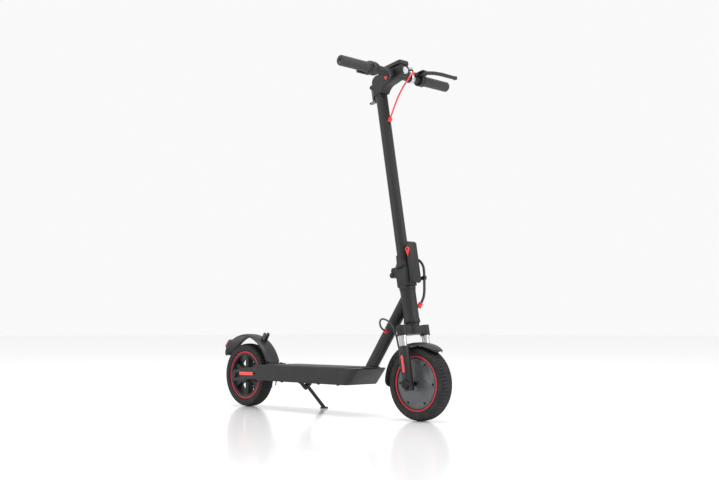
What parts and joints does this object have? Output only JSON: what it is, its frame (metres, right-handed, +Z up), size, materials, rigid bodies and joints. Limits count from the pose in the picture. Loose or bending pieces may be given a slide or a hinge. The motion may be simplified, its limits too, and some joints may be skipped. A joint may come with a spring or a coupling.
{
  "type": "electric kick scooter",
  "caption": "Folding two-wheeled electric kick scooter: raked stem with handlebar controls, sprung fork, hub motor, ribbed standing deck, rear disc brake and side kickstand.",
  "frame": {"origin": "on the floor, at the middle of the scooter's length and width, wheels straight and upright", "axes": "+X forward, +Y to the rider's left, +Z up"},
  "size_m": [1.0278, 0.472, 1.0827],
  "materials": {
    "frame_paint": "satin black powder coat over aluminium",
    "alloy_black": "matt black coated aluminium casting",
    "hub_grey": "matt grey anodised",
    "steel": "plated steel",
    "silver": "polished",
    "disc_steel": "ground",
    "tyre_rubber": "matt rubber",
    "deck_rubber": "ribbed rubber",
    "grip_rubber": "moulded rubber",
    "bellows_rubber": "soft rubber",
    "red_rubber": "red rubber",
    "black_plastic": "fine textured",
    "red_plastic": "red moulded",
    "reflector_red": "prismatic",
    "lamp_clear": "clear lens",
    "lamp_red": "dark red lens",
    "screen_glass": "smoked",
    "cable_red": "red cable jacket",
    "cable_black": "black cable jacket",
    "battery_wrap": "shrink wrap",
    "screw_black": "black oxide"
  },
  "bodies": {
    "chassis": {"deck_shell": "frame_paint", "deck_mat": "deck_rubber", "bottom_cover": "black_plastic", "chassis_screws": "screw_black", "battery_pack": "battery_wrap", "charge_socket": "black_plastic", "down_tube": "frame_paint", "head_tube": "frame_paint", "rear_arms": "frame_paint", "rear_axle": "steel", "rear_reflectors": "reflector_red", "rear_fender": "black_plastic", "fender_latch": "steel", "tail_light_lens": "lamp_red", "brake_caliper": "alloy_black", "kickstand_bracket": "alloy_black", "tube_grommets": "red_rubber", "rear_brake_cable": "cable_red"},
    "steering": {"fork_crown": "alloy_black", "stanchions": "silver", "hinge_block": "frame_paint", "harness_lower": "cable_black", "motor_cable_upper": "cable_black"},
    "fork_lower": {"fork_legs": "frame_paint", "front_axle": "steel", "front_fender": "black_plastic", "fork_reflectors": "reflector_red", "fork_bellows": "bellows_rubber", "motor_cable_lower": "cable_black"},
    "front_wheel": {"motor_shell": "hub_grey", "hub_covers": "hub_grey", "front_tyre": "tyre_rubber"},
    "rear_wheel": {"rear_rim": "alloy_black", "rear_tyre": "tyre_rubber", "brake_disc": "disc_steel"},
    "stem": {"stem_tube": "frame_paint", "neck_casting": "frame_paint", "console_housing": "black_plastic", "display_glass": "screen_glass", "headlight_lens": "lamp_clear", "handlebar": "alloy_black", "grips": "grip_rubber", "throttle_housing": "black_plastic", "brake_clamp": "alloy_black", "bell_base": "black_plastic", "hook_bracket": "alloy_black", "stem_grommets": "red_rubber", "brake_cable": "cable_red", "throttle_cable": "cable_black", "harness_upper": "cable_black"},
    "charge_flap": {"charge_flap": "red_rubber"},
    "caliper_arm": {"caliper_arm": "steel"},
    "kickstand": {"kickstand": "alloy_black"},
    "power_button": {"power_button": "red_plastic"},
    "throttle_lever": {"throttle_lever": "black_plastic"},
    "brake_lever": {"brake_lever": "alloy_black"},
    "bell_lever": {"bell_lever": "silver"},
    "stem_hook": {"stem_hook": "steel"},
    "fold_lever": {"fold_lever": "hub_grey"},
    "safety_catch": {"safety_catch": "red_plastic"}
  },
  "joints": [
    {"name": "steer", "type": "hinge", "parent": "chassis", "child": "steering", "pos_m": [0.4045, 0, 0.108], "axis": [-0.1736, 0, 0.9848], "range_deg": [-45, 45], "deforming": ["motor_cable_upper", "harness_lower"]},
    {"name": "fork_slide", "type": "slide", "parent": "steering", "child": "fork_lower", "axis": [-0.1736, 0, 0.9848], "range_m": [0, 0.02], "stiffness_N_per_m": 8000, "springref_m": -0.012, "deforming": ["fork_bellows", "motor_cable_lower"]},
    {"name": "front_wheel_spin", "type": "hinge", "parent": "fork_lower", "child": "front_wheel", "pos_m": [0.4045, 0, 0.108], "axis": [0, 1, 0], "continuous": true},
    {"name": "rear_wheel_spin", "type": "hinge", "parent": "chassis", "child": "rear_wheel", "pos_m": [-0.3905, 0, 0.108], "axis": [0, 1, 0], "continuous": true},
    {"name": "stem_fold", "type": "hinge", "parent": "steering", "child": "stem", "pos_m": [0.30977, 0, 0.42639], "axis": [0, -1, 0], "range_deg": [0, 95.4], "deforming": ["harness_upper"]},
    {"name": "fold_lever_swing", "type": "hinge", "parent": "steering", "child": "fold_lever", "pos_m": [0.38687, 0, 0.40952], "axis": [0, 1, 0], "range_deg": [0, 100]},
    {"name": "safety_catch_turn", "type": "hinge", "parent": "fold_lever", "child": "safety_catch", "pos_m": [0.37252, -0.01875, 0.50244], "axis": [0, 1, 0], "range_deg": [0, 30], "stiffness_Nm_per_rad": 0.05, "springref_deg": -17.19},
    {"name": "brake_lever_pull", "type": "hinge", "parent": "stem", "child": "brake_lever", "pos_m": [0.33604, 0.0987, 1.06059], "axis": [-0.1736, 0, 0.9848], "range_deg": [0, 11], "stiffness_Nm_per_rad": 1.5, "springref_deg": -11.46},
    {"name": "caliper_arm_pull", "type": "hinge", "parent": "chassis", "child": "caliper_arm", "pos_m": [-0.3335, 0.046, 0.088], "axis": [0, -1, 0], "range_deg": [0, 18]},
    {"name": "throttle_press", "type": "hinge", "parent": "stem", "child": "throttle_lever", "pos_m": [0.31056, 0, 1.04391], "axis": [0, -1, 0], "range_deg": [0, 35], "stiffness_Nm_per_rad": 0.3, "springref_deg": -17.19},
    {"name": "bell_turn", "type": "hinge", "parent": "stem", "child": "bell_lever", "pos_m": [0.31056, 0.066, 1.04391], "axis": [-0.1736, 0, 0.9848], "range_deg": [0, 30], "stiffness_Nm_per_rad": 0.1, "springref_deg": -17.19},
    {"name": "power_press", "type": "slide", "parent": "stem", "child": "power_button", "axis": [0.1736, 0, -0.9848], "range_m": [0, 0.001], "stiffness_N_per_m": 500, "springref_m": -0.001},
    {"name": "stem_hook_swing", "type": "hinge", "parent": "stem", "child": "stem_hook", "pos_m": [0.21156, 0, 1.01792], "axis": [0, 1, 0], "range_deg": [0, 140]},
    {"name": "kickstand_fold", "type": "hinge", "parent": "chassis", "child": "kickstand", "pos_m": [-0.1575, 0.06, 0.078], "axis": [0.0212, 0.7898, 0.6129], "range_deg": [0, 93.5]},
    {"name": "charge_flap_lift", "type": "hinge", "parent": "chassis", "child": "charge_flap", "pos_m": [0.1125, 0.0775, 0.1375], "axis": [1, 0, 0], "range_deg": [0, 110]}
  ],
  "couplings": [
    {"joint": "caliper_arm_pull", "follows": "brake_lever_pull", "ratio": 1.63}
  ]
}
